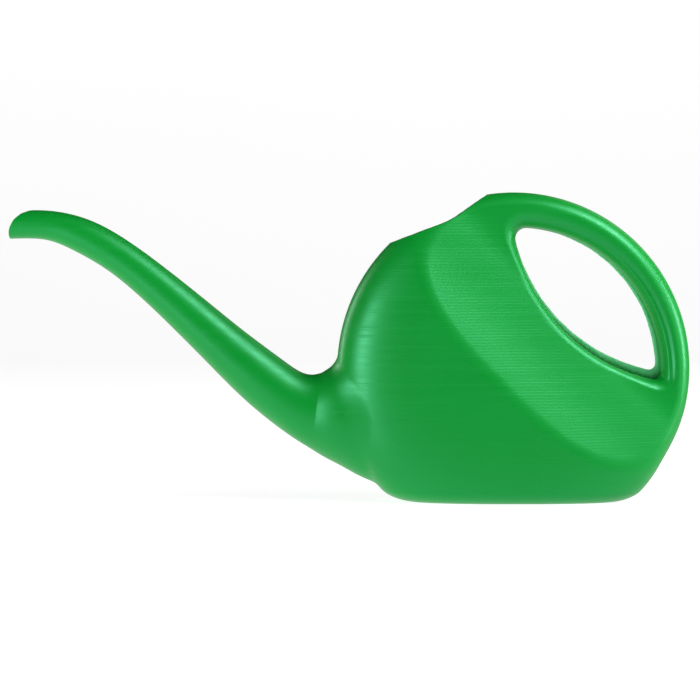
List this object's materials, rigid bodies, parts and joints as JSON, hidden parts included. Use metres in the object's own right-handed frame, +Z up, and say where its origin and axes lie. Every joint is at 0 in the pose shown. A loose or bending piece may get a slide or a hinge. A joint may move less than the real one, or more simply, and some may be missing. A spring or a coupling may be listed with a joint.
{
  "type": "watering can",
  "caption": "Narrow indoor watering can with a long curved spout, a round upright belly, a trimmed filling mouth and a hollow loop grip.",
  "frame": {"origin": "middle of the flat base, straight under the centre of the round belly, on the parting plane", "axes": "+Z up; the spout points along -X and the grip is at +X; Y runs across, with Y = 0 the parting plane"},
  "size_m": [0.4274, 0.071, 0.194],
  "materials": {
    "green_polyethylene": "satin, as blow moulded",
    "thin_green_web": "thin knife-trimmed flash that lets light through"
  },
  "bodies": {
    "root": {"tank_left": "green_polyethylene", "tank_right": "green_polyethylene", "base_floor": "green_polyethylene", "mouth_rim": "green_polyethylene", "handle_grip": "green_polyethylene", "handle_web": "thin_green_web", "spout_root": "green_polyethylene", "spout_tube": "green_polyethylene", "pour_tip": "green_polyethylene"}
  },
  "joints": []
}
